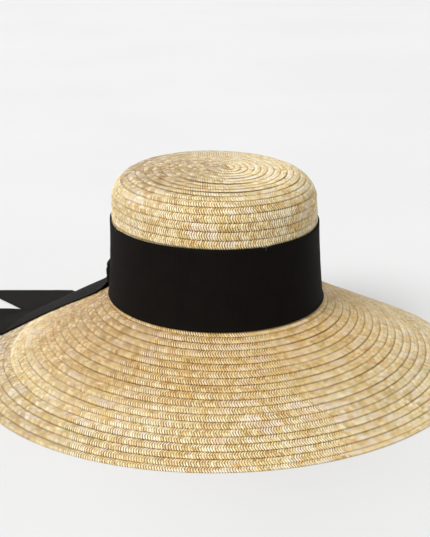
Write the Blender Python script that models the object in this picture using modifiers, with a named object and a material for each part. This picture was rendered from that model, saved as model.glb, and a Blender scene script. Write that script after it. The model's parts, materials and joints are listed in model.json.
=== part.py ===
"""Wide-brimmed straw hat with a grosgrain hatband, a tied knot and two ribbon tails.

Metres, +Z up. The origin is on the crown's axis in the plane that the brim's rim rests on.
The wearer's face is towards -Y, and the back of the head is towards +Y.
Every shell is a closed body, with a small gap to each of its neighbours.
"""

from math import cos, pi, radians, sin

import bmesh
import bpy
from mathutils import Matrix, Vector

# Driving dimensions.
SEGMENTS = 72                    # facets round each ring
GAP = 0.0003                     # clearance between touching pieces
STRAW = 0.0016                   # thickness of the sewn plait
OVAL = 0.061                     # the crown is this share longer front to back, and narrower across
SHOULDER_RADIUS = 0.088          # crown wall outside, mean of the oval, where the shoulder starts
SHOULDER_HEIGHT = 0.1452
FOOT_RADIUS = 0.0922             # crown wall outside, where it meets the brim
FOOT_HEIGHT = 0.0628
WALL_BULGE = Vector((0.0885, 0.105))  # middle control point of the wall's curve, as radius and height
TIP_HEIGHT = 0.1741              # top of the crown
TIP_SQUARENESS = 2.5             # exponent of the tip's rounded profile; 2 is an ellipse
RIM_RADIUS = 0.2086
RIM_OFFSET = Vector((0.0035, -0.0015))  # the rim's centre, beside the crown's axis
RIM_EDGE = 0.0005                # height of the rim's blunt outer edge
RIM_FOOT_INSET = 0.0006          # the flat resting face stops this far inside the rim
RIBBON = 0.0007                  # thickness of the grosgrain ribbon
BAND_HEIGHT = 0.065
SWEATBAND = 0.0008
SWEATBAND_HEIGHT = 0.032
LABEL = (0.040, 0.014, 0.0005)   # width, height and thickness
KNOT_ANGLE = radians(129.5)      # turning angle from +X, towards the wearer's right and back
KNOT_SIZE = Vector((0.008, 0.056, 0.025))  # out from the band, along it, and up
KNOT_HEIGHT = 0.0755
KNOT_END = 0.3                   # thickness at the knot's two ends, as a share of the middle's
KNOT_TOP = 0.45                  # thickness at its top, as a share of the bottom's
THREAD_RADIUS = 0.00025
TACK_LENGTH = 0.004
TACKS = {"front": -88.0, "left": 2.0, "back": 90.0, "right": 178.0}  # degrees round from +X
TAIL_THICKNESS = 0.0008
TAIL_STEPS = 30                  # rows of faces along a tail
TAIL_COLUMNS = 4                 # faces across each half of a tail
TAIL_START = Vector((-0.0565, 0.0875))  # beside the knot, in plan
TAIL_HEADING = radians(124)

# Each row across a tail has its left edge, its ridge and its right edge, in millimetres.
# A point is (distance along the heading, distance to its left, height over what it lies on).
NEAR_TAIL = [
    ((2, 38.5, 1.5), (2, 4, 5.6), (2, -12.0, 2.4)),
    ((14, 38.5, 1.2), (14, 2, 4.9), (14, -13.5, 1.6)),
    ((36, 37.2, 1.2), (38, 0, 5.2), (40, -14.5, 1.4)),
    ((60, 38.5, 1.2), (66, 0, 5.3), (67, -15.0, 1.4)),
    ((80, 44.0, 1.4), (88, 1, 6.0), (90, -11.5, 1.6)),
    ((96, 52.0, 1.8), (104, 6, 5.0), (107, -7.5, 3.0)),
    ((107, 58.0, 1.0), (120, 16, 2.4), (124, -4.0, 3.2)),
    ((121, 66.0, 0.8), (136, 26, 1.2), (143, 2.0, 2.0)),
    ((140, 76.0, 0.8), (160, 39, 0.8), (170, 17.0, 1.0)),
    ((151, 82.0, 0.8), (179, 52, 0.8), (198, 31.4, 0.8)),
    ((162, 88.0, 0.8), (196, 68, 0.8), (230, 48, 0.8)),
]
FAR_TAIL = [
    ((2, -14.0, 2.2), (2, -19, 4.6), (2, -24, 2.0)),
    ((14, -15.8, 1.6), (15, -24, 4.4), (17, -33, 1.6)),
    ((35, -17.0, 1.3), (37, -32, 4.0), (38, -47, 1.4)),
    ((65, -17.5, 1.3), (64, -40, 3.5), (62, -60, 1.2)),
    ((90, -14.2, 1.5), (86, -43, 3.2), (80, -66.5, 1.4)),
    ((105, -10.5, 1.9), (99, -45, 3.0), (92, -70, 1.8)),
    ((118, -8.8, 1.2), (110, -45, 1.5), (100, -72.7, 1.4)),
    ((145, -17.3, 0.8), (130, -48, 0.9), (109, -75.5, 1.0)),
    ((170, -25.2, 0.8), (146, -52, 0.8), (114, -77, 0.8)),
    ((195, -33.2, 0.8), (156.5, -55.7, 0.8), (118, -78.2, 0.8)),
]

# Colours as (red, green, blue), then roughness.
MATERIALS = {
    "natural_straw": ((0.72, 0.53, 0.29), 0.45),
    "black_grosgrain": ((0.012, 0.012, 0.013), 0.75),
    "sweatband_tape": ((0.02, 0.02, 0.022), 0.8),
    "label_tape": ((0.75, 0.72, 0.66), 0.7),
    "black_thread": ((0.02, 0.02, 0.02), 0.6),
}


def clear_scene():
    for thing in list(bpy.data.objects):
        bpy.data.objects.remove(thing)


def new_material(name):
    colour, roughness = MATERIALS[name]
    material = bpy.data.materials.new(name)
    material.use_nodes = True
    shader = material.node_tree.nodes["Principled BSDF"]
    shader.inputs["Base Color"].default_value = (*colour, 1.0)
    shader.inputs["Roughness"].default_value = roughness
    shader.inputs["Metallic"].default_value = 0.0
    material.diffuse_color = (*colour, 1.0)
    return material


def new_object(name, mesh, material, parts):
    """Puts the mesh in the hat's collection as a named, smooth-shaded object."""
    mesh.materials.append(material)
    mesh.shade_smooth()
    mesh.set_sharp_from_angle(angle=radians(35))
    thing = bpy.data.objects.new(name, mesh)
    parts.objects.link(thing)
    return thing


def mesh_from_bmesh(name, build):
    mesh = bpy.data.meshes.new(name)
    build.to_mesh(mesh)
    build.free()
    return mesh


def turned(name, profile, material, parts, closed=True):
    """Turns (radius, height) points about +Z, then widens the round body to the head's oval."""
    last = len(profile) - 1
    edges = [(i, i + 1) for i in range(last)]
    if closed:
        edges.append((last, 0))
    mesh = bpy.data.meshes.new(name)
    mesh.from_pydata([(radius, 0, height) for radius, height in profile], edges, [])
    thing = new_object(name, mesh, material, parts)
    thing.scale = (1 - OVAL, 1 + OVAL, 1)
    screw = thing.modifiers.new("Turn", "SCREW")
    screw.steps = SEGMENTS
    screw.render_steps = SEGMENTS
    screw.use_merge_vertices = True
    screw.merge_threshold = 0.0001
    return thing


def wall_point(height):
    """Radius of the crown wall's outside at a height between its foot and the shoulder."""
    foot = Vector((FOOT_RADIUS, FOOT_HEIGHT))
    shoulder = Vector((SHOULDER_RADIUS, SHOULDER_HEIGHT))
    low, high = 0.0, 1.0
    for _ in range(40):
        t = (low + high) / 2
        point = (1 - t) ** 2 * foot + 2 * t * (1 - t) * WALL_BULGE + t**2 * shoulder
        if point.y < height:
            low = t
        else:
            high = t
    return point.x


def wall_shell(bottom, top, outside, thickness, steps=5):
    """Closed profile of a shell that follows the crown wall, outside given from the wall's own."""
    heights = [bottom + (top - bottom) * i / steps for i in range(steps + 1)]
    outer = [(wall_point(z) + outside, z) for z in reversed(heights)]
    inner = [(wall_point(z) + outside - thickness, z) for z in heights]
    return outer + inner


def tip_curve(inset, steps=9):
    """The tip's rounded profile from the axis down to the shoulder, inset into the straw."""
    radius = SHOULDER_RADIUS - inset
    rise = TIP_HEIGHT - SHOULDER_HEIGHT - inset
    power = 2 / TIP_SQUARENESS
    points = []
    for i in range(steps + 1):
        t = i / steps * pi / 2
        across = radius * sin(t) ** power
        up = SHOULDER_HEIGHT + rise * max(cos(t), 0.0) ** power
        points.append((across, up))
    return points


def make_crown_tip(straw, parts):
    outer = tip_curve(0.0)
    inner = tip_curve(STRAW)
    turned("crown_tip", outer + inner[::-1], straw, parts, closed=False)


def make_crown_wall(straw, parts):
    profile = wall_shell(FOOT_HEIGHT + GAP, SHOULDER_HEIGHT - GAP, 0.0, STRAW)
    turned("crown_wall", profile, straw, parts)


def make_hatband(ribbon, parts):
    bottom = FOOT_HEIGHT + 2 * GAP
    profile = wall_shell(bottom, bottom + BAND_HEIGHT, GAP + RIBBON, RIBBON)
    turned("hatband", profile, ribbon, parts)


def make_sweatband(tape, parts):
    bottom = FOOT_HEIGHT + 2 * GAP
    profile = wall_shell(bottom, bottom + SWEATBAND_HEIGHT, -STRAW - GAP, SWEATBAND)
    turned("sweatband", profile, tape, parts)


def oval_point(radius, angle, height):
    """A point of the crown's oval, at the turning angle that made it."""
    return Vector((radius * (1 - OVAL) * cos(angle), radius * (1 + OVAL) * sin(angle), height))


def oval_outward(angle):
    return Vector((cos(angle) / (1 - OVAL), sin(angle) / (1 + OVAL), 0)).normalized()


def brim_ring(radius, height):
    """One ring of the brim: oval at the crown and a true circle at the rim."""
    out = (radius - FOOT_RADIUS) / (RIM_RADIUS - FOOT_RADIUS)
    oval = OVAL * (1 - out)
    centre = RIM_OFFSET * out
    ring = []
    for i in range(SEGMENTS):
        angle = 2 * pi * i / SEGMENTS
        x = centre.x + radius * (1 - oval) * cos(angle)
        y = centre.y + radius * (1 + oval) * sin(angle)
        ring.append((x, y, height))
    return ring


def brim_slope():
    return (FOOT_HEIGHT - RIM_EDGE) / (RIM_RADIUS - FOOT_RADIUS)


def brim_profile(steps=5):
    """Closed (radius, height) section: top surface outwards, then the underside back to the crown."""
    drop = STRAW * (1 + brim_slope() ** 2) ** 0.5
    foot_inner = RIM_RADIUS - (drop - RIM_EDGE) / brim_slope()
    inside = FOOT_RADIUS - STRAW
    top = []
    under = []
    for i in range(steps + 1):
        share = i / steps
        radius = FOOT_RADIUS + (RIM_RADIUS - FOOT_RADIUS) * share
        top.append((radius, FOOT_HEIGHT - brim_slope() * (radius - FOOT_RADIUS)))
        radius = foot_inner + (FOOT_RADIUS - foot_inner) * share
        under.append((radius, brim_slope() * (foot_inner - radius)))
    resting = (RIM_RADIUS - RIM_FOOT_INSET, 0.0)
    lip = [(inside, FOOT_HEIGHT - STRAW), (inside, FOOT_HEIGHT)]
    return top + [resting] + under + lip


def make_brim(straw, parts):
    """A loft, because the inner edge is an oval and the rim is a circle beside its centre."""
    build = bmesh.new()
    rings = []
    for radius, height in brim_profile():
        rings.append([build.verts.new(point) for point in brim_ring(radius, height)])
    for i, ring in enumerate(rings):
        following = rings[(i + 1) % len(rings)]
        for j in range(SEGMENTS):
            k = (j + 1) % SEGMENTS
            build.faces.new((ring[j], following[j], following[k], ring[k]))
    bmesh.ops.recalc_face_normals(build, faces=build.faces)
    new_object("brim", mesh_from_bmesh("brim", build), straw, parts)


def on_band(out, around, height):
    """A point over the band: out from its face, round from the knot, and at a height."""
    angle = KNOT_ANGLE + around / FOOT_RADIUS
    band = oval_point(wall_point(height) + GAP + RIBBON, angle, height)
    return band + oval_outward(angle) * out


def make_knot(ribbon, parts):
    """A flat wrap of ribbon over the band, plump low in its middle, bent round the band."""
    build = bmesh.new()
    bmesh.ops.create_cube(build, size=1.0)
    bmesh.ops.subdivide_edges(build, edges=build.edges, cuts=5, use_grid_fill=True)
    out, around, up = KNOT_SIZE
    for vert in build.verts:
        x, y, z = vert.co
        plump = 1 - (1 - KNOT_END) * (2 * y) ** 2
        lean = 1 - (1 - KNOT_TOP) * (z + 0.5)
        depth = 2 * GAP + (x + 0.5) * out * plump * lean
        vert.co = on_band(depth, y * around, KNOT_HEIGHT + z * up)
    thing = new_object("band_knot", mesh_from_bmesh("band_knot", build), ribbon, parts)
    soft = thing.modifiers.new("Soft", "SUBSURF")
    soft.levels = 1
    soft.render_levels = 1


def make_tacks(thread, parts):
    """Short thread bars that hold the band's top edge to the straw."""
    top = FOOT_HEIGHT + 2 * GAP + BAND_HEIGHT
    height = top - TACK_LENGTH / 2
    for side, degrees in TACKS.items():
        build = bmesh.new()
        bmesh.ops.create_cone(
            build, cap_ends=True, segments=8, depth=TACK_LENGTH,
            radius1=THREAD_RADIUS, radius2=THREAD_RADIUS,
        )
        name = "band_tack_" + side
        thing = new_object(name, mesh_from_bmesh(name, build), thread, parts)
        out = wall_point(height) + 3 * GAP + RIBBON + THREAD_RADIUS
        thing.location = oval_point(out, radians(degrees), height)


def set_origin(thing, point):
    """Moves the object's origin to the point, and leaves its shape where it is."""
    thing.data.transform(Matrix.Translation(-point))
    thing.location = point


def sheet_object(name, rows, thickness, offset, material, parts):
    """A strip from rows of points, made solid; offset is as on the Solidify modifier."""
    build = bmesh.new()
    grid = [[build.verts.new(point) for point in row] for row in rows]
    for first, second in zip(grid, grid[1:]):
        for i in range(len(first) - 1):
            build.faces.new((first[i], first[i + 1], second[i + 1], second[i]))
    thing = new_object(name, mesh_from_bmesh(name, build), material, parts)
    solid = thing.modifiers.new("Thickness", "SOLIDIFY")
    solid.thickness = thickness
    solid.offset = offset
    return thing


def make_label(tape, parts):
    """A blank tape sewn to the sweatband at the back of the head."""
    width, height, thickness = LABEL
    middle = FOOT_HEIGHT + SWEATBAND_HEIGHT / 2
    depth = STRAW + SWEATBAND + 2 * GAP + thickness / 2 + GAP
    columns = 8
    rows = []
    for z in (middle - height / 2, middle + height / 2):
        radius = wall_point(z) - depth
        reach = width / radius / 2
        angles = [pi / 2 + reach - 2 * reach * i / columns for i in range(columns + 1)]
        rows.append([oval_point(radius, angle, z) for angle in angles])
    sheet_object("inside_label", rows, thickness, 0, tape, parts)


def lay_height(x, y):
    """Height of whatever a ribbon lies on here: the brim's top, or the plane the hat rests on."""
    low, high = 0.0, 1.0
    for _ in range(30):
        out = (low + high) / 2
        oval = OVAL * (1 - out)
        across = (x - RIM_OFFSET.x * out) / (1 - oval)
        along = (y - RIM_OFFSET.y * out) / (1 + oval)
        if (across**2 + along**2) ** 0.5 < FOOT_RADIUS + (RIM_RADIUS - FOOT_RADIUS) * out:
            high = out
        else:
            low = out
    if low > 0.999999:
        return 0.0
    return FOOT_HEIGHT - (FOOT_HEIGHT - RIM_EDGE) * low


def between(points, share):
    """A smooth curve through the points, at a share of the way along their list."""
    place = share * (len(points) - 1)
    i = min(int(place), len(points) - 2)
    t = place - i
    start, end = Vector(points[i]), Vector(points[i + 1])
    before = Vector(points[i - 1]) if i > 0 else start
    after = Vector(points[i + 2]) if i + 2 < len(points) else end
    leave = (end - before) / 2
    arrive = (after - start) / 2
    bend = 2 * t**3 - 3 * t**2
    return start * (1 + bend) - end * bend + leave * (t**3 - 2 * t**2 + t) + arrive * (t**3 - t**2)


def tail_point(along, sideways, lift):
    """Metres in the hat's frame, from a tail row's millimetres."""
    ahead = Vector((cos(TAIL_HEADING), sin(TAIL_HEADING)))
    left = Vector((-ahead.y, ahead.x))
    x, y = TAIL_START + (ahead * along + left * sideways) / 1000
    return Vector((x, y, lay_height(x, y) + lift / 1000))


def tail_row(left, ridge, right):
    """Points across a tail: a rounded rise to its ridge, then an easy fall to its far edge."""
    row = []
    for i in range(TAIL_COLUMNS):
        t = i / TAIL_COLUMNS
        along, sideways, lift = left.lerp(ridge, t)
        lift = left.z + (ridge.z - left.z) * sin(pi / 2 * t)
        row.append(tail_point(along, sideways, lift))
    for i in range(TAIL_COLUMNS + 1):
        t = i / TAIL_COLUMNS
        along, sideways, lift = ridge.lerp(right, t)
        lift = ridge.z + (right.z - ridge.z) * (1 - cos(pi * t)) / 2
        row.append(tail_point(along, sideways, lift))
    return row


def make_tail(name, rows, ribbon, parts):
    edges = list(zip(*rows))
    grid = []
    for i in range(TAIL_STEPS + 1):
        left, ridge, right = (between(points, i / TAIL_STEPS) for points in edges)
        grid.append(tail_row(left, ridge, right))
    thing = sheet_object(name, grid, TAIL_THICKNESS, 0, ribbon, parts)
    set_origin(thing, tail_point(*rows[0][1]) + Vector((0, 0, TAIL_THICKNESS / 2)))


def main():
    clear_scene()
    parts = bpy.data.collections.new("straw_sun_hat")
    bpy.context.scene.collection.children.link(parts)
    kinds = {name: new_material(name) for name in MATERIALS}
    make_crown_tip(kinds["natural_straw"], parts)
    make_crown_wall(kinds["natural_straw"], parts)
    make_brim(kinds["natural_straw"], parts)
    make_hatband(kinds["black_grosgrain"], parts)
    make_knot(kinds["black_grosgrain"], parts)
    make_tacks(kinds["black_thread"], parts)
    make_sweatband(kinds["sweatband_tape"], parts)
    make_label(kinds["label_tape"], parts)
    make_tail("ribbon_tail_near", NEAR_TAIL, kinds["black_grosgrain"], parts)
    make_tail("ribbon_tail_far", FAR_TAIL, kinds["black_grosgrain"], parts)


main()
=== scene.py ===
import json
from math import cos, pi, radians, sin

import bmesh
import bpy
import numpy as np
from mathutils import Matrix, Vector


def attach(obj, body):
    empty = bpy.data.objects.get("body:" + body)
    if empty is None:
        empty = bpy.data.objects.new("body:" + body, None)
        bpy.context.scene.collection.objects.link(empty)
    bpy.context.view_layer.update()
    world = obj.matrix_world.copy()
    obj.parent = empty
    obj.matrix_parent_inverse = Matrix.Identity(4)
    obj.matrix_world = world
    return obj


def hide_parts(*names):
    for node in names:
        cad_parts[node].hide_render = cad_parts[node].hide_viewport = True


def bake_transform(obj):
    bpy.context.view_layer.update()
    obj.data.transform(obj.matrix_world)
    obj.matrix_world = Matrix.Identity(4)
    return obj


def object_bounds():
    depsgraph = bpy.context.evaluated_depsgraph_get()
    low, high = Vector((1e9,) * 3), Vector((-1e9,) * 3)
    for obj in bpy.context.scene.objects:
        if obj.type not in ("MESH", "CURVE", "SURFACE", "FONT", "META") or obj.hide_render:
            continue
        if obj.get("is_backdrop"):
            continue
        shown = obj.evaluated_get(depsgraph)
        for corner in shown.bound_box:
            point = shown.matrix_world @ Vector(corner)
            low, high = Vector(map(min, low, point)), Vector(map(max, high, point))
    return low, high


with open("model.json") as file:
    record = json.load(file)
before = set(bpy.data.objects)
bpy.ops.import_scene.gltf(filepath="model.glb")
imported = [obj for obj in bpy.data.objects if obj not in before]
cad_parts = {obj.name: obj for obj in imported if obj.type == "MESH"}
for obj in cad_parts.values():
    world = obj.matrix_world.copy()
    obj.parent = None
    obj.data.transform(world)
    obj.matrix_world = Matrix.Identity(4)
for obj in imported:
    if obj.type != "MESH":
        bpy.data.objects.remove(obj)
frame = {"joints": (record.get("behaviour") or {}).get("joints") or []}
CAD_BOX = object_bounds()

# The straw's surface, in metres. It follows the CAD's outside.
OVAL = 0.0613
DOME_RADIUS = 0.0602
DOME_RISE = 0.0056
DOME_EDGE = 0.1685
SHOULDER_RADIUS = 0.0880
SHOULDER_HEIGHT = 0.1452
FOOT_RADIUS = 0.0922
FOOT_HEIGHT = 0.0628
WALL_BULGE = (0.0885, 0.105)
RIM_RADIUS = 0.2086
RIM_EDGE = 0.0005
RIM_OFFSET = (0.0035, -0.0015)

# The spiral's start on the crown's tip.
SPIRAL_CENTRE = (0.006, -0.016)  # where the spiral starts, beside the crown's axis
SPIRAL_START = 0.004        # half the length of the straight run that it starts round
TIP_END = 0.084             # radius where the rows have come back round the axis
TIP_PROFILE_END = 0.0875    # the tip's heights are looked up by radius as far out as this
TIP_FLATNESS = 0.4          # share of the rows' tilt that is lost at the spiral's start

# The plait.
TIP_PITCH = 0.0066
WALL_PITCH = 0.0070
BRIM_PITCH = 0.0067
OVERLAP = 0.0011
RUN_OUT = 0.45              # where round the hat the last full row ends, as a share of a turn
CHEVRON = 0.0020            # length of plait from one crossing straw to the next
SHEAR = 0.95                # crossings that a straw passes on its way from the middle to an edge
APEX = 0.57                 # where across the plait the straws cross over
RELIEF = 0.0002

# The ribbon, and the tapes and threads.
RIB = 0.00125               # from one rib to the next
RIB_HEIGHT = 0.00005
RIBBON_WIDTH = 0.066
RIBBON_THICKNESS = 0.00055
BAND_TOP = 0.1284
BAND_LIFT = 0.00068         # from the straw to the middle of the ribbon's thickness
BAND_FOOT = 0.0012          # how far past the crown's foot the band's lower edge lies
TACK_PULL = 0.0011          # how far a tack draws the band's top edge down
TACK_REACH = 0.006          # how far to each side it does so
SWEATBAND_HEIGHTS = (0.0954, 0.0634)
SWEATBAND_LIFT = -0.0023
SWEATBAND_WIDTH = 0.032
SWEATBAND_THICKNESS = 0.0005
SWEATBAND_RADIUS = 0.0881   # front to back, where the label is
STITCH_PITCH = 0.0042
STITCH_TURN = 0.027         # angle that one stitch of the sweatband covers
STITCH_RISE = 0.0002
THREAD_RADIUS = 0.0002
LABEL_LIFT = -0.00325
LABEL_SIZE = (0.040, 0.014)
LABEL_THICKNESS = 0.0004
KNOT_ANGLE = radians(129.5)
KNOT_HEIGHT = 0.0755
KNOT_REACHES = (0.034, 0.028)  # how far the wings reach to the left and to the right
KNOT_STAND_OFF = 0.0026        # how much further the left wing stands off the band
TACK_LENGTH = 0.0046
TACKS = {"front": -88.0, "left": 2.0, "back": 90.0, "right": 178.0}
TAIL_START = np.array([-0.0565, 0.0875])
TAIL_HEADING = radians(124)

# Each row across a tail has its left edge, its ridge and its right edge, in millimetres.
# A point is (distance along the heading, distance to its left, height over what it lies on).
NEAR_TAIL = [
    ((2, 38.5, 1.5), (2, 4, 5.6), (2, -12.0, 2.4)),
    ((14, 38.5, 1.2), (14, 2, 4.9), (14, -13.5, 1.6)),
    ((36, 37.2, 1.2), (38, 0, 5.2), (40, -14.5, 1.4)),
    ((60, 38.5, 1.2), (66, 0, 5.3), (67, -15.0, 1.4)),
    ((80, 44.0, 1.4), (88, 1, 6.0), (90, -11.5, 1.6)),
    ((96, 52.0, 1.8), (104, 6, 5.0), (107, -7.5, 3.0)),
    ((107, 58.0, 1.0), (120, 16, 2.4), (124, -4.0, 3.2)),
    ((121, 66.0, 0.8), (136, 26, 1.2), (143, 2.0, 2.0)),
    ((140, 76.0, 0.8), (160, 39, 0.8), (170, 17.0, 1.0)),
    ((151, 82.0, 0.8), (179, 52, 0.8), (198, 31.4, 0.8)),
    ((162, 88.0, 0.8), (196, 68, 0.8), (230, 48, 0.8)),
]
FAR_TAIL = [
    ((2, -14.0, 2.2), (2, -19, 4.6), (2, -24, 2.0)),
    ((14, -15.8, 1.6), (15, -24, 4.4), (17, -33, 1.6)),
    ((35, -17.0, 1.3), (37, -32, 4.0), (38, -47, 1.4)),
    ((65, -17.5, 1.3), (64, -40, 3.5), (62, -60, 1.2)),
    ((90, -14.2, 1.5), (86, -43, 3.2), (80, -66.5, 1.4)),
    ((105, -10.5, 1.9), (99, -45, 3.0), (92, -70, 1.8)),
    ((118, -8.8, 1.2), (110, -45, 1.5), (100, -72.7, 1.4)),
    ((145, -17.3, 0.8), (130, -48, 0.9), (109, -75.5, 1.0)),
    ((170, -25.2, 0.8), (146, -52, 0.8), (114, -77, 0.8)),
    ((195, -33.2, 0.8), (156.5, -55.7, 0.8), (118, -78.2, 0.8)),
]

# Camera and light.
CAMERA_PLACE = (-0.3999, -0.9520, 0.4235)
CAMERA_TILT, CAMERA_TURN = radians(71.755), radians(-22.8)
CAMERA_ROLL = -0.0175
WORLD_STRENGTH = 0.56

# Painted shade: the brim is darker and more golden near the crown, where the crown shades it.
CROWN_SHADE_RADII = (0.12, 0.185)
CROWN_SHADE_TINT = (0.90, 0.80, 0.65, 1.0)


def srgb(red, green, blue):
    """Linear colour from 0 to 255 screen values."""
    values = []
    for value in (red, green, blue):
        share = value / 255
        values.append(share / 12.92 if share <= 0.04045 else ((share + 0.055) / 1.055) ** 2.4)
    return (*values, 1.0)


def wander(x, step, size, seed):
    """Smooth random numbers of about this size, with a new one every step along x."""
    x = np.asarray(x, float) / step
    first = np.floor(x).astype(int)
    count = int(first.max() - first.min()) + 3
    random = np.random.RandomState(seed).uniform(-size, size, count)
    place = first - first.min()
    t = x - first
    t = t * t * (3 - 2 * t)
    return random[place] * (1 - t) + random[place + 1] * t


# Surface of the straw.

def hat_profile():
    """Arc length, radius and height of the straw's outside, from the tip's middle to the rim."""
    t = np.linspace(0, 1, 200)
    dome = np.stack([DOME_RADIUS * t, DOME_EDGE + DOME_RISE * (1 - t**2)], 1)
    angle = t * pi / 2
    across = DOME_RADIUS + (SHOULDER_RADIUS - DOME_RADIUS) * np.sin(angle)
    up = SHOULDER_HEIGHT + (DOME_EDGE - SHOULDER_HEIGHT) * np.cos(angle)
    shoulder = np.stack([across, up], 1)[1:]
    start = np.array([SHOULDER_RADIUS, SHOULDER_HEIGHT])
    end = np.array([FOOT_RADIUS, FOOT_HEIGHT])
    u = t[1:, None]
    wall = (1 - u) ** 2 * start + 2 * u * (1 - u) * np.array(WALL_BULGE) + u**2 * end
    brim = end + u * (np.array([RIM_RADIUS, RIM_EDGE]) - end)
    points = np.concatenate([dome, shoulder, wall, brim])
    length = np.concatenate([[0], np.cumsum(np.hypot(*np.diff(points, axis=0).T))])
    even = np.arange(0, length[-1], 0.0004)
    line = np.stack([np.interp(even, length, points[:, k]) for k in (0, 1)], 1)
    soft = np.hanning(15)[:, None]
    padded = np.concatenate([2 * line[0] - line[7:0:-1], line, 2 * line[-1] - line[-2:-9:-1]])
    for k in (0, 1):
        line[:, k] = np.convolve(padded[:, k], soft[:, 0] / soft.sum(), "valid")
    line[:, 0] = np.maximum(line[:, 0], 0)
    return even, line


ARC, LINE = hat_profile()
SLOPE = np.gradient(LINE, ARC, axis=0)
ARC_END = ARC[-1]
TIP_COUNT = int((LINE[:, 0] < TIP_PROFILE_END).sum())
TIP_LINE = LINE[:TIP_COUNT]
TIP_SLOPE = SLOPE[:TIP_COUNT]
WALL_ARC = float(ARC[np.argmax(LINE[:, 1] < SHOULDER_HEIGHT)])
FOOT_ARC = float(ARC[np.argmax(LINE[:, 1] < FOOT_HEIGHT + 0.0004)])


def arc_at_height(height):
    return float(ARC[np.argmax(LINE[:, 1] < height)])


def surface(arc, angle, lift=0.0):
    """Points over the straw's outside: arc out from the tip, angle round, and lift off it."""
    arc = np.asarray(arc, float)
    radius = np.interp(arc, ARC, LINE[:, 0])
    height = np.interp(arc, ARC, LINE[:, 1])
    out = np.interp(arc, ARC, SLOPE[:, 0])
    down = np.interp(arc, ARC, SLOPE[:, 1])
    share = np.clip((radius - FOOT_RADIUS) / (RIM_RADIUS - FOOT_RADIUS), 0, 1)
    share = np.where(arc > FOOT_ARC, share, 0)
    stretch = OVAL * radius * (1 - share)
    inward = np.clip(1 - radius / TIP_END, 0, 1)
    long_axis = radius + stretch + SPIRAL_START * inward
    short_axis = radius - stretch
    x = RIM_OFFSET[0] * share + SPIRAL_CENTRE[0] * inward + short_axis * np.cos(angle)
    y = RIM_OFFSET[1] * share + SPIRAL_CENTRE[1] * inward + long_axis * np.sin(angle)
    in_tip = radius < TIP_END
    place = np.hypot(x / (1 - OVAL), y / (1 + OVAL))
    height = np.where(in_tip, np.interp(place, TIP_LINE[:, 0], TIP_LINE[:, 1]), height)
    out = np.where(in_tip, np.interp(place, TIP_LINE[:, 0], TIP_SLOPE[:, 0]), out)
    down = np.where(in_tip, np.interp(place, TIP_LINE[:, 0], TIP_SLOPE[:, 1]), down)
    nx = np.cos(angle) / np.maximum(short_axis, 1e-4)
    ny = np.sin(angle) / np.maximum(long_axis, 1e-4)
    size = np.hypot(nx, ny)
    side = -down * lift
    point = [x + nx / size * side, y + ny / size * side, height + out * lift]
    return np.stack(np.broadcast_arrays(*point), -1)


# Turns of the plait. One turn is one full row round the hat.

def row_edges():
    """Turn numbers, and how far out from the tip's middle each turn's outer edge is."""
    tip_turns = WALL_ARC / TIP_PITCH
    wall_turns = tip_turns + (FOOT_ARC - WALL_ARC) / WALL_PITCH
    brim_turns = wall_turns + (ARC_END - FOOT_ARC) / BRIM_PITCH
    brim_turns = round(brim_turns - RUN_OUT) + RUN_OUT
    turns = np.arange(0, brim_turns + 0.9, 0.01)
    known = [0, tip_turns, wall_turns, brim_turns, brim_turns + 2]
    arcs = [0, WALL_ARC, FOOT_ARC, ARC_END, ARC_END + 2 * BRIM_PITCH]
    edge = np.interp(turns, known, arcs)
    soft = np.hanning(41)
    soft /= soft.sum()
    edge = np.convolve(np.pad(edge, 20, mode="reflect", reflect_type="odd"), soft, "valid")
    loose = np.clip((ARC_END - edge) / 0.01, 0, 1) * np.clip(edge / 0.02, 0, 1)
    edge = edge + wander(turns, 0.11, 0.00022, 4) * loose
    return turns, np.minimum(edge, ARC_END)


TURNS, EDGE = row_edges()
TURN_END = TURNS[-1]


def turn_at(arc):
    return float(np.interp(arc, EDGE, TURNS))


def length_table():
    """Length of plait at each turn number, along the middle of the row."""
    inner = np.interp(TURNS - 1, TURNS, EDGE, left=0)
    middle = surface((inner + EDGE) / 2, TURNS * 2 * pi)
    return np.concatenate([[0], np.cumsum(np.linalg.norm(np.diff(middle, axis=0), axis=1))])


LENGTH = length_table()

# Cross-section of the plait: share of its width, then height over the straw's outside.
TOP = [
    (0.00, -0.00095), (0.15, -0.00066), (0.32, -0.00026), (0.50, -0.00003),
    (0.68, 0.00009), (0.86, 0.00005), (0.985, -0.00016),
]
UNDER = [(1.00, -0.00052), (0.70, -0.00086), (0.35, -0.00118), (0.03, -0.00152)]


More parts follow.
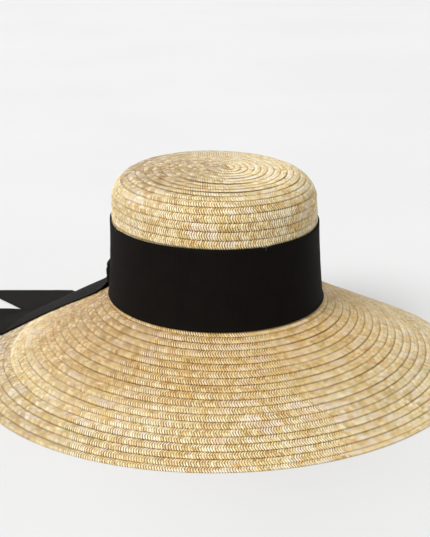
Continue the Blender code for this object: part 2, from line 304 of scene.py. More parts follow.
def plait(name, start, end, detail, node, body="hat"):
    """One run of plait from one turn to another, as a closed strip with its straws raised."""
    step = CHEVRON / 3 if detail else CHEVRON * 1.5
    first, last = np.interp([start, end], TURNS, LENGTH)
    count = int(round((last - first) / step))
    along = first + (last - first) * np.arange(count + 1) / count
    section = np.array(TOP + UNDER)
    share, height = section[:, 0][None, :], section[:, 1][None, :]
    lean = np.abs(share - APEX) * 2 * SHEAR * CHEVRON
    place = along[:, None] + lean
    turn = np.interp(place, LENGTH, TURNS)
    outer = np.interp(turn, TURNS, EDGE)
    inner = np.interp(turn - 1, TURNS, EDGE, left=0) - OVERLAP
    inner = np.maximum(inner, 0)
    width = outer - inner
    cell = along[:, None] / CHEVRON + 0 * share
    ridge = np.where(np.abs(np.mod(cell + 1 / 6, 1)) < 1 / 3, -1.0, 0.5)
    on_top = np.arange(len(section)) < len(TOP)
    relief = np.where(on_top, 1, -0.8) * RELIEF * ridge * (1 if detail else 0)
    relief = relief * (1 + wander(place, 0.004, 0.5, 7))
    loop = np.where(share > 0.9, 0.00022, 0) * (ridge + 0.3)
    arc = inner + share * width + loop
    flatter = 1 - TIP_FLATNESS * np.clip(1 - outer / TIP_END, 0, 1) ** 0.5
    lift = height * flatter + relief + wander(place, 0.05, 0.00012, 9)
    inside_rim = np.clip((ARC_END - outer) / 0.03, 0, 1)
    lift = lift + wander(turn, 0.083, 0.00025, 15) * inside_rim
    points = surface(np.minimum(arc, ARC_END), turn * 2 * pi, lift)
    points[..., 2] = np.maximum(points[..., 2], 0.00005)
    rows, columns = points.shape[:2]
    index = np.arange(rows * columns).reshape(rows, columns)
    following = np.roll(index, -1, axis=1)
    faces = np.stack([index[:-1], following[:-1], following[1:], index[1:]], -1).reshape(-1, 4)
    mesh = grid_mesh(name, points.reshape(-1, 3), faces)
    facts = np.stack([cell, share + 0 * cell, turn], -1).reshape(-1, 3)
    data = mesh.attributes.new("plait", "FLOAT_VECTOR", "POINT")
    data.data.foreach_set("vector", facts.astype(np.float32).ravel())
    cap(mesh, [index[0][::-1], index[-1]])
    thing = add(name, mesh, STRAW, body)
    if node:
        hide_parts(node)
    return thing


def grid_mesh(name, points, faces):
    mesh = bpy.data.meshes.new(name)
    mesh.vertices.add(len(points))
    mesh.vertices.foreach_set("co", np.asarray(points, np.float32).ravel())
    faces = np.asarray(faces, np.int32)
    mesh.loops.add(faces.size)
    mesh.loops.foreach_set("vertex_index", faces.ravel())
    mesh.polygons.add(len(faces))
    starts = np.arange(0, faces.size, faces.shape[1], dtype=np.int32)
    mesh.polygons.foreach_set("loop_start", starts)
    mesh.update(calc_edges=True)
    return mesh


def cap(mesh, loops):
    """Closes a strip's two ends."""
    build = bmesh.new()
    build.from_mesh(mesh)
    build.verts.ensure_lookup_table()
    for loop in loops:
        build.faces.new([build.verts[i] for i in loop])
    build.to_mesh(mesh)
    build.free()


def add(name, mesh, material, body):
    """Links a mesh as a smooth-shaded piece that rides on a body."""
    mesh.materials.append(material)
    mesh.shade_smooth()
    thing = bpy.data.objects.new(name, mesh)
    bpy.context.scene.collection.objects.link(thing)
    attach(thing, body)
    return thing


# Materials.

class Nodes:
    """A short way to write a material's node tree."""

    def __init__(self, name):
        self.material = bpy.data.materials.new(name)
        self.material.use_nodes = True
        self.tree = self.material.node_tree
        self.shader = self.tree.nodes["Principled BSDF"]

    def new(self, kind, settings=None, **inputs):
        node = self.tree.nodes.new("ShaderNode" + kind)
        for key, value in (settings or {}).items():
            setattr(node, key, value)
        for key, value in inputs.items():
            self.set(node, int(key[1:]) if key[1:].isdigit() else key.replace("_", " "), value)
        return node

    def set(self, node, key, value):
        if isinstance(value, bpy.types.NodeSocket):
            self.tree.links.new(value, node.inputs[key])
        else:
            node.inputs[key].default_value = value

    def math(self, operation, first, second=0.0, third=0.0):
        node = self.new("Math", {"operation": operation}, i0=first, i1=second, i2=third)
        return node.outputs[0]

    def attribute(self, name):
        return self.new("Attribute", {"attribute_name": name}).outputs["Vector"]

    def split(self, vector):
        return self.new("SeparateXYZ", i0=vector).outputs

    def join(self, x=0.0, y=0.0, z=0.0):
        return self.new("CombineXYZ", i0=x, i1=y, i2=z).outputs[0]

    def noise(self, vector, scale, detail=2.0, roughness=0.5):
        node = self.new("TexNoise", Vector=vector, Scale=scale, Detail=detail, Roughness=roughness)
        return node.outputs["Fac"]

    def white(self, vector):
        node = self.new("TexWhiteNoise", {"noise_dimensions": "3D"}, Vector=vector)
        return node.outputs["Value"]

    def between(self, value, low, high, to_low=0.0, to_high=1.0, smooth=True):
        kind = "SMOOTHSTEP" if smooth else "LINEAR"
        node = self.new(
            "MapRange", {"interpolation_type": kind},
            i0=value, i1=low, i2=high, i3=to_low, i4=to_high,
        )
        return node.outputs[0]

    def ramp(self, value, stops):
        node = self.new("ValToRGB", i0=value)
        line = node.color_ramp.elements
        while len(line) < len(stops):
            line.new(0.5)
        for element, (place, colour) in zip(line, stops):
            element.position = place
            element.color = colour
        return node.outputs[0]

    def mix(self, factor, first, second, blend="MIX"):
        node = self.new("Mix", {"data_type": "RGBA", "blend_type": blend}, i0=factor)
        self.set(node, 6, first)
        self.set(node, 7, second)
        return node.outputs[2]

    def bump(self, height, distance, strength=1.0):
        node = self.new("Bump", Height=height, Distance=distance, Strength=strength)
        return node.outputs[0]

    def finish(self, **inputs):
        for key, value in inputs.items():
            self.set(self.shader, key.replace("_", " "), value)
        return self.material


def straw_material():
    """Wheat-straw plait: each straw its own tone, long patches of hue, painted shade in the gaps
    between straws and near the crown, and dark overlap lines that are partly needle holes and
    partly painted shadow.
    """
    n = Nodes("wheat_straw")
    x, y, z = n.split(n.attribute("plait"))
    half = n.math("GREATER_THAN", y, APEX)
    cell = n.math("FLOOR", n.math("ADD", x, 1 / 6))
    inside = n.math("SUBTRACT", n.math("ADD", x, 1 / 6), cell)
    straw = n.white(n.join(cell, half, 0.0))
    place = n.new("TexCoord").outputs["Object"]
    along = n.join(n.math("MULTIPLY", x, 0.17), n.math("MULTIPLY", y, 0.8), z)
    stretch = n.noise(along, 1.0, 2.0, 0.6)
    patch = n.noise(place, 22.0, 2.0)
    speck = n.noise(place, 950.0, 2.0, 0.7)
    tone = n.math("MULTIPLY_ADD", straw, 0.44, -0.22)
    tone = n.math("MULTIPLY_ADD", stretch, 0.9, n.math("ADD", tone, 0.05))
    tone = n.math("MULTIPLY_ADD", patch, 0.25, n.math("ADD", tone, -0.125))
    tone = n.math("MULTIPLY_ADD", speck, 1.9, n.math("ADD", tone, -0.92))
    colour = n.ramp(tone, [
        (0.02, srgb(160, 124, 68)), (0.22, srgb(212, 180, 116)), (0.40, srgb(240, 211, 143)),
        (0.54, srgb(252, 231, 169)), (0.70, srgb(255, 243, 200)), (0.94, srgb(255, 253, 238)),
    ])
    pale = n.noise(n.join(n.math("MULTIPLY", x, 0.13), y, n.math("ADD", z, 40.0)), 1.0, 1.0)
    colour = n.mix(n.between(pale, 0.57, 0.66, 0.0, 0.7), colour, srgb(255, 242, 224))
    gold = n.noise(n.join(n.math("MULTIPLY", x, 0.15), y, n.math("ADD", z, 80.0)), 1.0, 1.0)
    colour = n.mix(n.between(gold, 0.60, 0.72, 0.0, 0.5), colour, srgb(236, 200, 108))
    green = n.noise(n.join(n.math("MULTIPLY", x, 0.12), y, n.math("ADD", z, 120.0)), 1.0, 1.0)
    colour = n.mix(n.between(green, 0.62, 0.75, 0.0, 0.45), colour, srgb(214, 210, 146))
    warm = n.white(n.join(n.math("FLOOR", n.math("MULTIPLY", x, 0.34)), half, n.math("FLOOR", z)))
    colour = n.mix(n.between(warm, 0.86, 0.96, 0.0, 0.3), colour, srgb(232, 168, 104))
    fibre = n.noise(n.join(n.math("MULTIPLY", inside, 9.0), y, cell), 1.6, 3.0, 0.6)
    colour = n.mix(n.between(fibre, 0.3, 0.7, 0.4, 0.0), colour, srgb(150, 114, 66))
    # Painted shade in the gaps between crossing straws, deeper in some gaps than in others.
    gap = n.math("ABSOLUTE", n.math("SUBTRACT", inside, 0.5))
    deep = n.white(n.join(cell, half, 11.0))
    depth = n.math("MULTIPLY", n.between(gap, 0.22, 0.42), n.between(deep, 0.1, 0.7, 0.45, 1.0))
    colour = n.mix(depth, colour, srgb(104, 68, 20))
    spine = n.between(n.math("ABSOLUTE", n.math("SUBTRACT", y, APEX)), 0.0, 0.06, 0.3, 0.0)
    colour = n.mix(spine, colour, srgb(140, 104, 56))
    # Dark dashed lines just outside the edge of the row that overlaps: partly needle holes, partly
    # painted shadow cast by that edge.
    dash = n.white(n.join(n.math("FLOOR", n.math("MULTIPLY", x, 0.8)), 3.0, 7.0))
    pulse = n.math("SUBTRACT", n.math("FRACT", n.math("MULTIPLY", x, 0.55)), 0.5)
    pulse = n.between(n.math("ABSOLUTE", pulse), 0.08, 0.32, 0.25, 1.0)
    dash = n.math("MULTIPLY", pulse, n.between(dash, 0.2, 0.7, 0.6, 1.0))
    line = n.math("MULTIPLY", n.between(y, 0.17, 0.28, 1.0, 0.0), dash)
    colour = n.mix(line, colour, srgb(92, 54, 2))
    # Painted shade near the crown: the brim's colour is multiplied darker and more golden close to
    # the crown, fading out further from the axis.
    east, north, up = n.split(place)
    ring = n.math("SQRT", n.math("MULTIPLY_ADD", east, east, n.math("MULTIPLY", north, north)))
    on_brim = n.between(up, 0.062, 0.07, 1.0, 0.0)
    crown_shade = n.math("MULTIPLY", n.between(ring, *CROWN_SHADE_RADII, 1.0, 0.0), on_brim)
    colour = n.mix(crown_shade, colour, CROWN_SHADE_TINT, "MULTIPLY")
    gloss = n.white(n.join(cell, half, 9.0))
    roughness = n.between(gloss, 0.0, 1.0, 0.34, 0.58, smooth=False)
    dull = n.math("MAXIMUM", line, n.math("MULTIPLY", depth, 0.8))
    roughness = n.math("MAXIMUM", roughness, dull)
    relief = n.math("MULTIPLY_ADD", fibre, 0.3, n.between(gap, 0.5, 0.1))
    return n.finish(
        Base_Color=colour, Roughness=roughness, Normal=n.bump(relief, 0.00016, 0.9),
        Sheen_Weight=0.05, Specular_IOR_Level=0.5,
    )


def ribbon_material(name, tone, sheen=0.02, gloss=0.1):
    """Ribbed ribbon: ribs across it, with a fine warp over them, and painted shade in the grooves
    between ribs and between warp threads.
    """
    n = Nodes(name)
    x, y, z = n.split(n.attribute("ribbon"))
    rib = n.math("ABSOLUTE", n.math("SINE", n.math("MULTIPLY", x, pi / RIB)))
    warp = n.math("ABSOLUTE", n.math("SINE", n.math("MULTIPLY", y, pi / 0.00032)))
    cloud = n.noise(n.join(x, y, z), 60.0, 3.0)
    # Painted shade: the colour is darker in the grooves between ribs and between warp threads; the
    # cloud is the ribbon's own uneven tone.
    light = n.between(rib, 0.0, 0.8, 0.35, 1.0)
    light = n.math("MULTIPLY", light, n.between(warp, 0.0, 0.7, 0.75, 1.0))
    light = n.math("MULTIPLY", light, n.between(cloud, 0.3, 0.7, 0.85, 1.15))
    dark = tuple(value * 0.25 for value in tone[:3]) + (1.0,)
    colour = n.mix(light, dark, tone)
    height = n.math("MULTIPLY_ADD", warp, 0.4, rib)
    return n.finish(
        Base_Color=colour, Roughness=n.between(rib, 0.0, 1.0, 0.8, 0.6), Sheen_Weight=sheen,
        Sheen_Roughness=0.4, Specular_IOR_Level=gloss, Normal=n.bump(height, 0.00012, 1.0),
    )


def thread_material(name, tone):
    n = Nodes(name)
    place = n.new("TexCoord").outputs["Object"]
    twist = n.noise(place, 2500.0, 2.0)
    dark = tuple(value * 0.45 for value in tone[:3]) + (1.0,)
    colour = n.mix(n.between(twist, 0.35, 0.65), dark, tone)
    return n.finish(
        Base_Color=colour, Roughness=0.6, Sheen_Weight=0.2, Normal=n.bump(twist, 0.00005, 0.6),
    )


STRAW = straw_material()
GROSGRAIN = ribbon_material("black_grosgrain_weave", srgb(19, 16, 14), 0.006, 0.04)
TAPE = ribbon_material("sweatband_weave", srgb(34, 32, 31))
LABEL = ribbon_material("label_weave", srgb(226, 220, 206), 0.1, 0.3)
BLACK_THREAD = thread_material("black_thread_twist", srgb(30, 29, 31))


def make_straw():
    wall = turn_at(WALL_ARC)
    hidden = turn_at(arc_at_height(BAND_TOP)) + 1
    foot = turn_at(FOOT_ARC)
    plait("tip_rows_inner", 0.2, wall * 0.72, True, "crown_tip")
    plait("tip_rows_outer", wall * 0.72, wall, True, "crown_tip")
    plait("wall_rows_above_band", wall, hidden, True, "crown_wall")
    plait("wall_rows_behind_band", hidden, foot, False, "crown_wall")
    lengths = np.interp([foot, TURN_END], TURNS, LENGTH)
    parts = 5
    cuts = np.interp(np.linspace(*lengths, parts + 1), LENGTH, TURNS)
    for i in range(parts):
        plait("brim_rows_%d" % (i + 1), cuts[i], cuts[i + 1], True, "brim")


# Ribbons, tapes and threads.

def sheet_normals(middle, wrap):
    """Unit normals of a grid of points, whose rows run along the ribbon."""
    if wrap:
        along = np.roll(middle, -1, axis=0) - np.roll(middle, 1, axis=0)
    else:
        along = np.gradient(middle, axis=0)
    normal = np.cross(along, np.gradient(middle, axis=1))
    return normal / np.linalg.norm(normal, axis=-1, keepdims=True)


def thick_sheet(name, middle, thickness, facts, relief=0.0, wrap=False):
    """A closed sheet about a grid of points, with raised ribs and its place on the ribbon."""
    half_thickness = thickness / 2 + relief + np.zeros(middle.shape[:2])
    offset = sheet_normals(middle, wrap) * half_thickness[..., None]
    ring = np.concatenate([middle + offset, (middle - offset)[:, ::-1]], axis=1)
    index = np.arange(ring.shape[0] * ring.shape[1]).reshape(ring.shape[:2])
    if not wrap:
        start, following = index[:-1], index[1:]
    else:
        start, following = index, np.roll(index, -1, axis=0)
    faces = [np.stack([
        start, following, np.roll(following, -1, axis=1), np.roll(start, -1, axis=1),
    ], -1).reshape(-1, 4)]
    if not wrap:
        far = index[:, ::-1]
        half = middle.shape[1]
        for row, turn in ((0, 1), (-1, -1)):
            corners = [
                index[row, :half - 1], index[row, 1:half], far[row, 1:half], far[row, :half - 1],
            ]
            faces.append(np.stack(corners[::turn], -1))
    mesh = grid_mesh(name, ring.reshape(-1, 3), np.concatenate(faces))
    both = np.concatenate([facts, facts[:, ::-1]], axis=1).reshape(-1, 3)
    data = mesh.attributes.new("ribbon", "FLOAT_VECTOR", "POINT")
    data.data.foreach_set("vector", both.astype(np.float32).ravel())
    return mesh


def rib_relief(along):
    """Raised ribs across the ribbon, three samples to each."""
    return RIB_HEIGHT * np.where(np.abs(np.mod(along / RIB + 1 / 6, 1)) < 1 / 3, -1.0, 0.5)


def height_arc(height):
    return np.interp(-np.asarray(height, float), -LINE[:, 1], ARC)


def on_wall(height, angle, lift):
    """Points over the crown's wall, by their height, angle round and lift off the straw."""
    return surface(height_arc(height), angle, lift)


def even_angles(height, step):
    """Angles round the crown with the same distance between them, in threes, and that distance."""
    angle = np.linspace(0, 2 * pi, 1441)
    ring = on_wall(height, angle, 0.0)
    length = np.concatenate([[0], np.cumsum(np.linalg.norm(np.diff(ring, axis=0), axis=1))])
    count = int(round(length[-1] / step / 3)) * 3
    return np.interp(np.arange(count) * length[-1] / count, length, angle), length[-1] / count


def angle_gap(angle, degrees):
    """Signed angle from a direction, within half a turn."""
    return (angle - radians(degrees) + pi) % (2 * pi) - pi


def make_hatband():
    """The wide ribbon round the crown: drawn tight, soft along its top, and dented at each tack."""
    angle, step = even_angles((BAND_TOP + FOOT_HEIGHT) / 2, RIB / 3)
    top = arc_at_height(BAND_TOP)
    share = np.linspace(0, 1, 24)[None, :]
    angle = angle[:, None]
    pull = 0
    for degrees in TACKS.values():
        pull = pull + np.exp(-(angle_gap(angle, degrees) * 0.09 / TACK_REACH) ** 2)
    arc = top + (FOOT_ARC + BAND_FOOT - top) * share
    arc = arc + (TACK_PULL * pull + wander(angle, 0.5, 0.0003, 31)) * (1 - share) ** 6
    loose = wander(angle, 0.35, 0.0003, 33) + wander(angle, 0.11, 0.00012, 34)
    lift = BAND_LIFT + 0.0002 + (loose + 0.0003) * (1 - share) ** 3
    lift = lift - 0.0004 * pull * (1 - share) ** 8
    lift = lift + 0.0004 * np.clip((share - 0.94) / 0.06, 0, 1)
    lift = lift + wander(share * RIBBON_WIDTH + 0 * angle, 0.007, 0.00008, 35)
    middle = surface(arc, angle, lift)
    along = np.arange(len(angle))[:, None] * step + 0 * share
    facts = np.stack([along, share * RIBBON_WIDTH + 0 * along, 0 * along], -1)
    ribs = rib_relief(along)
    mesh = thick_sheet("hatband_ribbon", middle, RIBBON_THICKNESS, facts, ribs, wrap=True)
    band = add("hatband_ribbon", mesh, GROSGRAIN, "hat")
    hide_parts("hatband")


def knot_grid(count, width_count):
    """Shares along and across a knot piece, from -1 to 1."""
    along = np.linspace(-1, 1, count)[:, None] + np.zeros((1, width_count))
    across = np.linspace(-1, 1, width_count)[None, :] + np.zeros((count, 1))
    return along, across


def knot_point(out, around, height):
    return on_wall(height, KNOT_ANGLE + around / FOOT_RADIUS, BAND_LIFT + 0.0005 + out)


def knot_piece(name, out, around, height, along, across):
    middle = knot_point(out, around, height)
    facts = np.stack([along, across, 0 * along], -1)
    mesh = thick_sheet(name, middle, RIBBON_THICKNESS, facts)
    piece = add(name, mesh, GROSGRAIN, "hat")
    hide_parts("band_knot")


def make_knot():
    """The knot: two gathered wings of ribbon over the band, and a tight wrap across them."""
    u, v = knot_grid(150, 61)
    spread = np.abs(u) ** 1.5
    half = 0.0108 + 0.0014 * spread
    folds = np.sin(pi * 3.2 * v + 0.9 * u + 0.5) + 0.45 * np.sin(pi * 5.6 * v - 1.6 * u)
    body = (1 - np.abs(v) ** 4) * (0.0038 * (1 - spread) + 0.0018) * (1 - np.abs(u) ** 14)
    body = body + KNOT_STAND_OFF * np.maximum(u, 0) ** 2 * (1 - v**4) * (1 - np.abs(u) ** 14)
    folds = 0.0007 * folds * (1 - v**4) * (1 - 0.75 * spread) * np.clip(body / 0.002, 0, 1)
    depth = 0.0002 + body + folds
    height = KNOT_HEIGHT + v * half - 0.0008 * (1 - spread)
    knot_piece(
        "knot_wings", np.maximum(depth, 0.0001), np.where(u > 0, *KNOT_REACHES) * u, height,
        u * 0.031, v * RIBBON_WIDTH / 2,
    )
    u, v = knot_grid(90, 49)
    arch = np.maximum(1 - np.abs(u) ** 3.2, 0)
    folds = np.sin(pi * 2.6 * v + 0.7 * u) + 0.4 * np.sin(pi * 5.2 * v - u)
    depth = 0.0001 + 0.0072 * arch * (1 - 0.42 * np.abs(v) ** 3) + 0.00055 * folds * arch
    width = 0.0085 + 0.0022 * np.abs(u) ** 2
    height = KNOT_HEIGHT - 0.0006 + u * 0.0118 * (1 - 0.1 * v**2)
    knot_piece(
        "knot_wrap", depth, v * width + 0.0022 * u, height,
        u * 0.018, v * RIBBON_WIDTH / 2,
    )


def lay_height(x, y):
    """Height of the brim's top, or of the plane that the hat rests on."""
    low = np.zeros(np.shape(x))
    high = np.ones(np.shape(x))
    for _ in range(26):
        out = (low + high) / 2
        across = (x - RIM_OFFSET[0] * out) / (1 - OVAL * (1 - out))
        along = (y - RIM_OFFSET[1] * out) / (1 + OVAL * (1 - out))
        inside = np.hypot(across, along) < FOOT_RADIUS + (RIM_RADIUS - FOOT_RADIUS) * out
        high = np.where(inside, out, high)
        low = np.where(inside, low, out)
    return np.where(low > 0.99999, 0.0, FOOT_HEIGHT - (FOOT_HEIGHT - RIM_EDGE) * low)


def curve_through(points, share):
    """A smooth curve through a list of points, at shares of the way along the list."""
    points = np.array(points, float)
    place = share * (len(points) - 1)
    first = np.minimum(place.astype(int), len(points) - 2)
    t = (place - first)[:, None]
    start, end = points[first], points[first + 1]
    before, after = points[np.maximum(first - 1, 0)], points[np.minimum(first + 2, len(points) - 1)]
    leave, arrive = (end - before) / 2, (after - start) / 2
    bend = 2 * t**3 - 3 * t**2
    return start * (1 + bend) - end * bend + leave * (t**3 - 2 * t**2 + t) + arrive * (t**3 - t**2)


def tail_ground(rows, share, across):
    """Points of a tail over the brim and the table, from its rows of edge, ridge and edge."""
    left, ridge, right = (curve_through(edge, share)[:, None, :] for edge in zip(*rows))
    rise = np.clip(across * 2, 0, 1)[None, :, None]
    fall = np.clip(across * 2 - 1, 0, 1)[None, :, None]
    local = left + (ridge - left) * rise + (right - ridge) * fall
    up = left + (ridge - left) * np.sin(pi / 2 * rise)
    up = up + (right - ridge) * (1 - np.cos(pi * fall)) / 2
    ahead = np.array([cos(TAIL_HEADING), sin(TAIL_HEADING)])
    aside = np.array([-ahead[1], ahead[0]])
    plan = TAIL_START + (ahead * local[..., :1] + aside * local[..., 1:2]) / 1000
    height = lay_height(plan[..., 0], plan[..., 1]) + up[..., 2] / 1000
    return np.concatenate([plan, height[..., None]], -1)


def tail_root(ground, tuck_angles, tuck_height):
    """Rows that bring a tail down the band from under the knot and out on to the brim."""
    heading = ground[0] - ground[2]
    heading /= np.linalg.norm(heading, axis=-1, keepdims=True)
    reach = np.linspace(0, 0.03, 61)[:, None, None]
    path = ground[0] + heading * reach
    near = np.hypot(path[..., 0] / (1 - OVAL), path[..., 1] / (1 + OVAL)) < FOOT_RADIUS + 0.0032
    corner = path[np.argmax(near, axis=0), np.arange(ground.shape[1])]
    share = np.linspace(0, 1, ground.shape[1])
    angle = np.radians(tuck_angles[0] + (tuck_angles[1] - tuck_angles[0]) * share)
    tucked = on_wall(tuck_height, angle, BAND_LIFT + 0.0011)
    t = np.linspace(0, 1, 24, endpoint=False)[:, None, None]
    return (1 - t) ** 2 * tucked + 2 * t * (1 - t) * corner + t**2 * ground[0]


def along_rows(points, cut):
    """The same sheet with rows a third of a rib apart, square to its edges up to the cut."""
    length = np.cumsum(np.linalg.norm(np.diff(points, axis=0), axis=2), axis=0)
    length = np.concatenate([np.zeros((1, points.shape[1])), length])
    ends = length[-1]
    square = int((ends.min() - cut) / (RIB / 3))
    slanted = int((ends.max() - square * RIB / 3) / (RIB / 3))
    rows = np.arange(square)[:, None] * RIB / 3 + 0 * ends
    begin = square * RIB / 3
    share = np.linspace(0, 1, slanted)[:, None]
    rows = np.concatenate([rows, begin + (ends - begin) * share])
    grid = np.empty((len(rows), points.shape[1], 3))
    for j in range(points.shape[1]):
        for k in range(3):
            grid[:, j, k] = np.interp(rows[:, j], length[:, j], points[:, j, k])
    return grid, rows, np.clip((begin - rows) / 0.01, 0, 1)


def make_tail(name, rows, tuck_angles, tuck_height, pleats, node, body):
    """One tail of the ribbon, from under the knot, down the brim and out over the table."""
    across = np.linspace(0, 1, 45)
    ground = tail_ground(rows, np.linspace(0, 1, 150), across)
    root = tail_root(ground, tuck_angles, tuck_height)
    grid, along, ribbed = along_rows(np.concatenate([root, ground]), 0.004)
    count, size, reach = pleats
    fade = np.exp(-(along / reach) ** 2) * np.clip(along / 0.006, 0.3, 1)
    wave = np.sin(2 * pi * count * across + along * 14) * fade
    grid = grid + sheet_normals(grid, False) * (size * wave + size * 0.6 * fade)[..., None]
    facts = np.stack([along, across * RIBBON_WIDTH + 0 * along, 0 * along], -1)
    mesh = thick_sheet(name, grid, RIBBON_THICKNESS, facts, rib_relief(along) * ribbed)
    mesh.materials.append(GROSGRAIN)
    mesh.shade_smooth()
    tail = bpy.data.objects.new(name, mesh)
    bpy.context.scene.collection.objects.link(tail)
    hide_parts(node)
    joint = next(item for item in frame["joints"] if item["child"] == body)
    hinge = Vector(joint["pos_m"])
    out = Vector((0, 0, 1)).cross(Vector(joint["axis"])).normalized()
    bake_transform(tail)


def make_tails():
    make_tail(
        "near_tail_ribbon", NEAR_TAIL, (141.0, 122.0), 0.0745, (2.0, 0.0005, 0.045),
        "ribbon_tail_near", "near_tail",
    )
    make_tail(
        "far_tail_ribbon", FAR_TAIL, (121.0, 117.0), 0.0735, (4.0, 0.0017, 0.09),
        "ribbon_tail_far", "far_tail",
    )


def make_sweatband():
    """The ribbed tape inside the crown's foot, sewn along its lower edge."""
    angle, step = even_angles(FOOT_HEIGHT + 0.016, RIB / 3)
    share = np.linspace(0, 1, 12)[None, :]
    angle = angle[:, None]
    height = SWEATBAND_HEIGHTS[0] + (SWEATBAND_HEIGHTS[1] - SWEATBAND_HEIGHTS[0]) * share
    height = height + wander(angle, 0.6, 0.0003, 41) * (1 - share)
    lift = SWEATBAND_LIFT + wander(angle, 0.3, 0.00025, 42) * (1 - share) ** 2
    middle = on_wall(height, angle, lift)
    along = np.arange(len(angle))[:, None] * step + 0 * share
    facts = np.stack([along, share * SWEATBAND_WIDTH + 0 * along, 0 * along], -1)
    ribs = rib_relief(along)
    mesh = thick_sheet("sweatband_tape", middle, SWEATBAND_THICKNESS, facts, ribs, wrap=True)
    tape = add("sweatband_tape", mesh, TAPE, "hat")
    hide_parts("sweatband")


def tubes(name, paths, radius, sides=6):
    """Closed tubes about paths of points, all in one mesh."""
    points, faces = [], []
    for path in paths:
        path = np.asarray(path, float)
        along = np.gradient(path, axis=0)
        along /= np.linalg.norm(along, axis=1, keepdims=True)
        first = np.cross(along, (0.31, 0.17, 0.93))
        first /= np.linalg.norm(first, axis=1, keepdims=True)
        second = np.cross(along, first)
        size = radius * np.where(np.arange(len(path)) % (len(path) - 1) == 0, 0.4, 1.0)[:, None]
        start = len(points)
        for turn in np.arange(sides) * 2 * pi / sides:
            points.extend(path + size * (first * cos(turn) + second * sin(turn)))
        index = start + np.arange(sides * len(path)).reshape(sides, -1)
        following = np.roll(index, -1, axis=0)
        quads = np.stack([index[:, :-1], following[:, :-1], following[:, 1:], index[:, 1:]], -1)
        faces.extend(quads.reshape(-1, 4).tolist())
        faces.append(index[::-1, 0].tolist())
        faces.append(index[:, -1].tolist())
    mesh = bpy.data.meshes.new(name)
    mesh.from_pydata([tuple(point) for point in points], [], faces)
    return mesh


def stitch_path(place, first, second, rise, count=6):
    """An arched stitch from one pair of (u, v) to the other; place(u, v, lift) gives its points."""
    t = np.linspace(0, 1, count)
    u = first[0] + (second[0] - first[0]) * t
    v = first[1] + (second[1] - first[1]) * t
    return place(u, v, rise * np.sin(pi * t))


def make_sweatband_stitches():
    def place(angle, height, rise):
        return on_wall(height, angle, SWEATBAND_LIFT - 0.00035 - rise)

    angle, _ = even_angles(FOOT_HEIGHT + 0.016, STITCH_PITCH / 3)
    height = SWEATBAND_HEIGHTS[1] + 0.0022
    paths = []
    for start in angle[::3]:
        end = (start + STITCH_TURN, height)
        paths.append(stitch_path(place, (start, height), end, STITCH_RISE))
    mesh = tubes("sweatband_stitches", paths, THREAD_RADIUS)
    add("sweatband_stitches", mesh, BLACK_THREAD, "hat")


def make_label():
    """A blank woven label at the back of the head, sewn down at its four corners."""
    width, height = LABEL_SIZE
    middle = sum(SWEATBAND_HEIGHTS) / 2
    u = np.linspace(-1, 1, 60)[:, None]
    v = np.linspace(-1, 1, 22)[None, :]
    angle = pi / 2 - u * width / 2 / SWEATBAND_RADIUS + 0 * v
    bow = 0.0003 * (1 - np.abs(u) ** 6) * (1 - v**2)
    edge = 0.00008 * ((np.abs(u) > 0.93) | (np.abs(v) > 0.82))
    points = on_wall(middle - v * height / 2, angle, LABEL_LIFT - bow)
    facts = np.stack([v * height / 2 + 0 * u, u * width / 2 + 0 * v, 0 * angle], -1)
    mesh = thick_sheet("label_tape", points, LABEL_THICKNESS, facts, edge)
    label = add("label_tape", mesh, LABEL, "hat")
    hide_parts("inside_label")

    def place(across, up, rise):
        return on_wall(up, pi / 2 - across / SWEATBAND_RADIUS, LABEL_LIFT - 0.00025 - rise)

    paths = []
    for side in (-1, 1):
        for up in (-1, 1):
            corner = side * (width / 2 - 0.0015)
            high = middle + up * (height / 2 - 0.0012)
            end = (corner + side * 0.0024, high + up * 0.0016)
            paths.append(stitch_path(place, (corner, high), end, STITCH_RISE))
    mesh = tubes("label_stitches", paths, 0.00022)
    add("label_stitches", mesh, BLACK_THREAD, "hat")


def make_tacks():
    """Twisted thread bars that hold the band's top edge to the straw."""
    for side, degrees in TACKS.items():
        t = np.linspace(0, 1, 25)
        paths = []
        for strand in (0, pi):
            twist = t * 5 * pi + strand
            height = BAND_TOP - 0.0034 + TACK_LENGTH * t
            lift = BAND_LIFT + 0.00045 + 0.00045 * np.sin(pi * t) + 0.00016 * np.sin(twist)
            angle = radians(degrees) + 0.00016 * np.cos(twist) / 0.09
            paths.append(on_wall(height, angle, lift))
        name = "tack_" + side
        tack = add(name, tubes(name, paths, THREAD_RADIUS), BLACK_THREAD, "hat")
        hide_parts("band_tack_" + side)


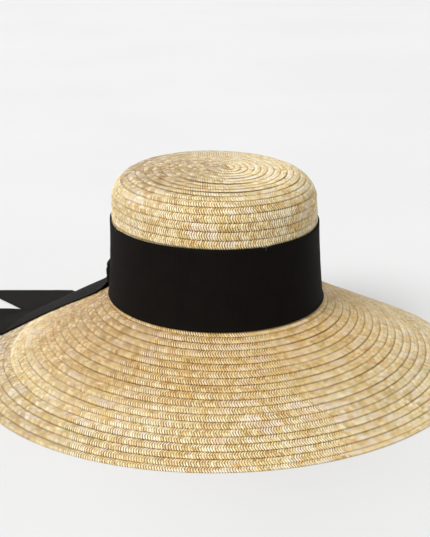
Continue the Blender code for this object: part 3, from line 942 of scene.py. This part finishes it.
def make_camera():
    camera = bpy.data.cameras.new("camera")
    camera.lens = 87.2
    camera.sensor_width = 36
    camera.clip_end = 50
    thing = bpy.data.objects.new("camera", camera)
    bpy.context.scene.collection.objects.link(thing)
    thing.location = CAMERA_PLACE
    thing.rotation_euler = (CAMERA_TILT, 0, CAMERA_TURN)
    thing.rotation_euler.rotate_axis("Z", CAMERA_ROLL)
    bpy.context.scene.camera = thing


def make_stage():
    n = Nodes("pale_floor")
    cloud = n.noise(n.new("TexCoord").outputs["Object"], 3.0)
    grey = n.ramp(cloud, [(0.3, srgb(212, 212, 212)), (0.7, srgb(215, 215, 215))])
    n.finish(Base_Color=grey, Roughness=0.8)
    build = bmesh.new()
    bmesh.ops.create_grid(build, x_segments=1, y_segments=1, size=8)
    mesh = bpy.data.meshes.new("floor")
    build.to_mesh(mesh)
    build.free()
    mesh.materials.append(n.material)
    floor = bpy.data.objects.new("floor", mesh)
    bpy.context.scene.collection.objects.link(floor)
    floor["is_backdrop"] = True


def make_light(name, place, softness, strength):
    """A broad, even light from one direction, so that the floor is the same tone everywhere."""
    light = bpy.data.lights.new(name, "SUN")
    light.angle = radians(softness)
    light.energy = strength
    thing = bpy.data.objects.new(name, light)
    bpy.context.scene.collection.objects.link(thing)
    thing.location = place
    thing.rotation_euler = Vector(place).to_track_quat("Z", "Y").to_euler()


def make_lights():
    world = bpy.data.worlds.new("studio")
    world.use_nodes = True
    background = world.node_tree.nodes["Background"]
    background.inputs["Color"].default_value = (1, 1, 1, 1)
    background.inputs["Strength"].default_value = WORLD_STRENGTH
    bpy.context.scene.world = world
    bpy.context.scene.view_settings.view_transform = "Standard"
    make_light("key", (-1.15, -0.5, 1.3), 28, 2.7)
    make_light("back", (0.0, 1.5, 0.9), 50, 0.8)


make_camera()
make_stage()
make_lights()
make_straw()
make_hatband()
make_knot()
make_tails()
make_sweatband()
make_sweatband_stitches()
make_label()
make_tacks()

[[list(corner) for corner in box] for box in (CAD_BOX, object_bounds())]
